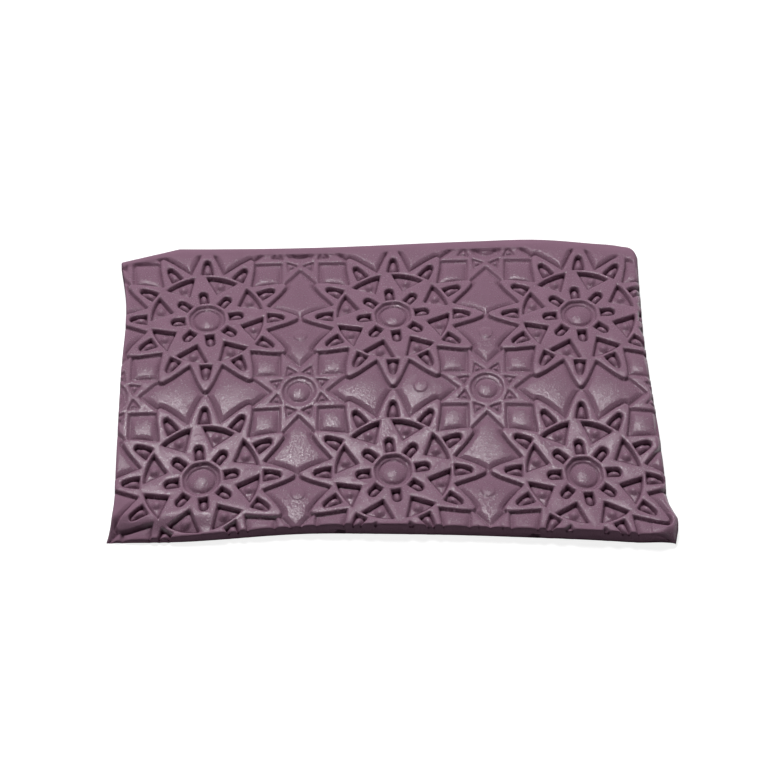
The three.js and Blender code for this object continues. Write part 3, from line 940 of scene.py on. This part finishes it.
def soft_light(context, name, power, size, place, target, shines, fills):
    """A round lamp. It gives highlights if it shines, and plain light if it fills."""
    lamp = bpy.data.lights.new(name, "AREA")
    lamp.shape = "DISK"
    lamp.size = size
    lamp.energy = power
    light = bpy.data.objects.new(name, lamp)
    light.location = place
    light.rotation_euler = (Vector(target) - Vector(place)).to_track_quat("-Z", "Y").to_euler()
    light.visible_glossy = shines
    light.visible_diffuse = fills
    context.scene.collection.objects.link(light)


class CLAYSHEET_OT_stage(Operator):
    """Make the table, the lights and the camera"""
    bl_idname = "claysheet.stage"
    bl_label = "Make Stage"

    def execute(self, context):
        settings = context.scene.clay_stage
        target = Vector(TARGET) * MM
        reach = TABLE_HALF_WIDTH
        floor_points = [(-reach, -reach, 0), (reach, -reach, 0), (reach, reach, 0), (-reach, reach, 0)]
        mesh = mesh_of("table", floor_points, [np.arange(4)])
        mesh.materials.append(table_material(settings.floor_colour))
        floor = bpy.data.objects.new("table", mesh)
        context.scene.collection.objects.link(floor)

        soft_light(
            context, "key", settings.key_power, KEY_SIZE, KEY_PLACE, target, shines=False, fills=True)
        soft_light(
            context, "overhead", settings.overhead_power, OVERHEAD_SIZE, OVERHEAD_PLACE, target,
            shines=True, fills=False)

        world = bpy.data.worlds.new("studio")
        world.use_nodes = True
        background = world.node_tree.nodes["Background"]
        background.inputs["Color"].default_value = (1, 1, 1, 1)
        background.inputs["Strength"].default_value = WORLD_LIGHT
        context.scene.world = world

        lens = bpy.data.cameras.new("camera")
        lens.sensor_width = SENSOR_WIDTH
        lens.lens = SENSOR_WIDTH * FOCAL_LENGTH / PICTURE_WIDTH
        lens.clip_end = VIEW_LIMIT
        camera = bpy.data.objects.new("camera", lens)
        elevation = settings.elevation
        toward = Vector((0, -math.cos(elevation), math.sin(elevation)))
        camera.location = target + settings.distance * toward
        camera.rotation_euler = (-toward).to_track_quat("-Z", "Y").to_euler()
        context.scene.collection.objects.link(camera)
        context.scene.camera = camera
        context.scene.view_settings.view_transform = "Standard"
        return {"FINISHED"}


class CLAYSHEET_PT_sidebar(Panel):
    bl_label = "Clay Texture Sheet"
    bl_idname = "CLAYSHEET_PT_sidebar"
    bl_space_type = "VIEW_3D"
    bl_region_type = "UI"
    bl_category = "Texture Sheet"

    def draw(self, context):
        for group, operator in (
                (context.scene.clay_sheet, "claysheet.sheet"),
                (context.scene.clay_rubber, None),
                (context.scene.clay_stage, "claysheet.stage")):
            box = self.layout.box()
            for name in group.__annotations__:
                box.prop(group, name)
            if operator:
                box.operator(operator)


CLASSES = (
    SheetSettings, RubberSettings, StageSettings,
    CLAYSHEET_OT_sheet, CLAYSHEET_OT_stage, CLAYSHEET_PT_sidebar)


def register():
    for each in CLASSES:
        bpy.utils.register_class(each)
    bpy.types.Scene.clay_sheet = PointerProperty(type=SheetSettings)
    bpy.types.Scene.clay_rubber = PointerProperty(type=RubberSettings)
    bpy.types.Scene.clay_stage = PointerProperty(type=StageSettings)


def unregister():
    del bpy.types.Scene.clay_stage
    del bpy.types.Scene.clay_rubber
    del bpy.types.Scene.clay_sheet
    for each in reversed(CLASSES):
        bpy.utils.unregister_class(each)


def main():
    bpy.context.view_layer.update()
    register()
    bpy.ops.claysheet.sheet()
    bpy.ops.claysheet.stage()


if __name__ == "__main__":
    main()
